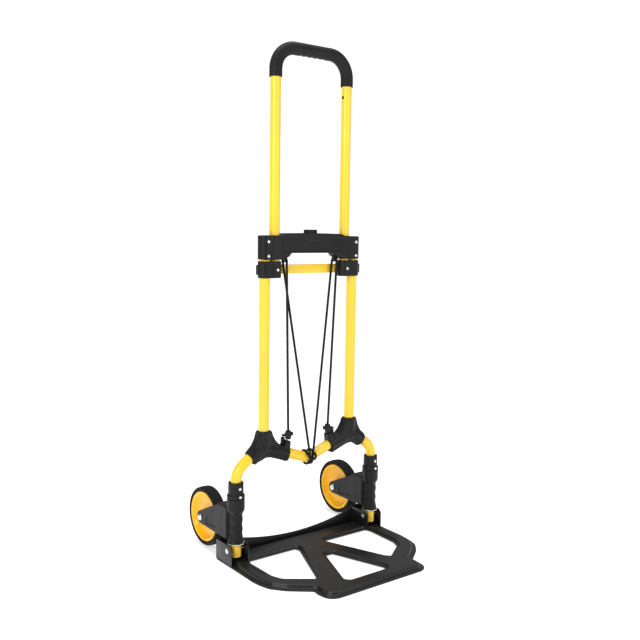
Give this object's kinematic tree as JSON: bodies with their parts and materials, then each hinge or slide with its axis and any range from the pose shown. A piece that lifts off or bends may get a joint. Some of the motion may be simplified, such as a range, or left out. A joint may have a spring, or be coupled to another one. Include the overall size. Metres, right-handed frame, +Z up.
{
  "type": "folding hand truck",
  "caption": "Folding hand truck with telescoping U handle, fold-up toe plate, swing-in wheels, push-button latch bridge and elastic load cord",
  "frame": {"origin": "on the floor, under the centre of the box that bounds the truck standing open", "axes": "+Z up the handle, +X to the truck's right, -Y is the front where the toe plate and the load lie"},
  "size_m": [0.4016, 0.424, 1.0482],
  "materials": {
    "yellow_paint": "bright yellow gloss powder coat",
    "black_plastic": "fine-grained satin black moulding",
    "black_steel": "satin black textured powder coat",
    "foam_grip": "matte closed-cell foam",
    "tyre": "matte solid rubber",
    "orange_rim": "semi-gloss orange-yellow moulding",
    "elastic": "braided black sheath",
    "bright_steel": "zinc-plated steel"
  },
  "bodies": {
    "frame": {"base_tube": "yellow_paint", "frame_tube_left": "yellow_paint", "frame_tube_right": "yellow_paint", "y_socket_left": "black_plastic", "y_socket_right": "black_plastic", "bridge_front_shell": "black_plastic", "bridge_rear_shell": "black_plastic", "bridge_rivet_lower_left": "bright_steel", "bridge_rivet_lower_right": "bright_steel", "bridge_rivet_upper_left": "bright_steel", "bridge_rivet_upper_right": "bright_steel", "button_spring": "bright_steel", "leg_collar_left": "black_plastic", "leg_collar_right": "black_plastic", "collar_rivet_upper_left": "bright_steel", "collar_rivet_lower_left": "bright_steel", "collar_rivet_upper_right": "bright_steel", "collar_rivet_lower_right": "bright_steel", "thrust_washer_left": "bright_steel", "thrust_washer_right": "bright_steel", "elastic_cord": "elastic", "cord_hook_left": "black_plastic", "cord_hook_right": "black_plastic"},
    "handle": {"handle_tube": "yellow_paint", "handle_grip": "foam_grip", "slide_block_left": "black_plastic", "slide_block_right": "black_plastic", "slide_block_rivet_left": "bright_steel", "slide_block_rivet_right": "bright_steel", "handle_crossbar": "yellow_paint"},
    "release_button": {"release_button": "black_plastic"},
    "latch_left": {"latch_pin_left": "bright_steel"},
    "latch_right": {"latch_pin_right": "bright_steel"},
    "toe_plate": {"toe_plate": "black_steel", "hinge_pin_left": "bright_steel", "hinge_pin_right": "bright_steel"},
    "bracket_left": {"wheel_bracket_left": "black_plastic", "axle_bolt_left": "bright_steel"},
    "bracket_right": {"wheel_bracket_right": "black_plastic", "axle_bolt_right": "bright_steel"},
    "wheel_left": {"tyre_left": "tyre", "wheel_rim_left": "orange_rim"},
    "wheel_right": {"tyre_right": "tyre", "wheel_rim_right": "orange_rim"}
  },
  "joints": [
    {"name": "handle_slide", "type": "slide", "parent": "frame", "child": "handle", "axis": [0, 0, -1], "range_m": [0, 0.305]},
    {"name": "button_press", "type": "slide", "parent": "frame", "child": "release_button", "axis": [0, 0, -1], "range_m": [0, 0.005], "stiffness_N_per_m": 400, "deforming": ["button_spring"]},
    {"name": "latch_left_retract", "type": "slide", "parent": "frame", "child": "latch_left", "axis": [1, 0, 0], "range_m": [0, 0.005]},
    {"name": "latch_right_retract", "type": "slide", "parent": "frame", "child": "latch_right", "axis": [-1, 0, 0], "range_m": [0, 0.005]},
    {"name": "toe_fold", "type": "hinge", "parent": "frame", "child": "toe_plate", "pos_m": [0, 0.036, 0.03], "axis": [-1, 0, 0], "range_deg": [0, 90]},
    {"name": "wheel_swing_left", "type": "hinge", "parent": "frame", "child": "bracket_left", "pos_m": [-0.178, 0.036, 0.085], "axis": [0, 0, -1], "range_deg": [0, 90]},
    {"name": "wheel_swing_right", "type": "hinge", "parent": "frame", "child": "bracket_right", "pos_m": [0.178, 0.036, 0.085], "axis": [0, 0, 1], "range_deg": [0, 90]},
    {"name": "wheel_spin_left", "type": "hinge", "parent": "bracket_left", "child": "wheel_left", "pos_m": [-0.178, 0.1495, 0.0675], "axis": [1, 0, 0], "continuous": true},
    {"name": "wheel_spin_right", "type": "hinge", "parent": "bracket_right", "child": "wheel_right", "pos_m": [0.178, 0.1495, 0.0675], "axis": [1, 0, 0], "continuous": true}
  ],
  "couplings": [
    {"joint": "latch_left_retract", "follows": "button_press", "ratio": 1},
    {"joint": "latch_right_retract", "follows": "button_press", "ratio": 1},
    {"joint": "wheel_swing_left", "follows": "toe_fold", "ratio": 1},
    {"joint": "wheel_swing_right", "follows": "toe_fold", "ratio": 1}
  ]
}
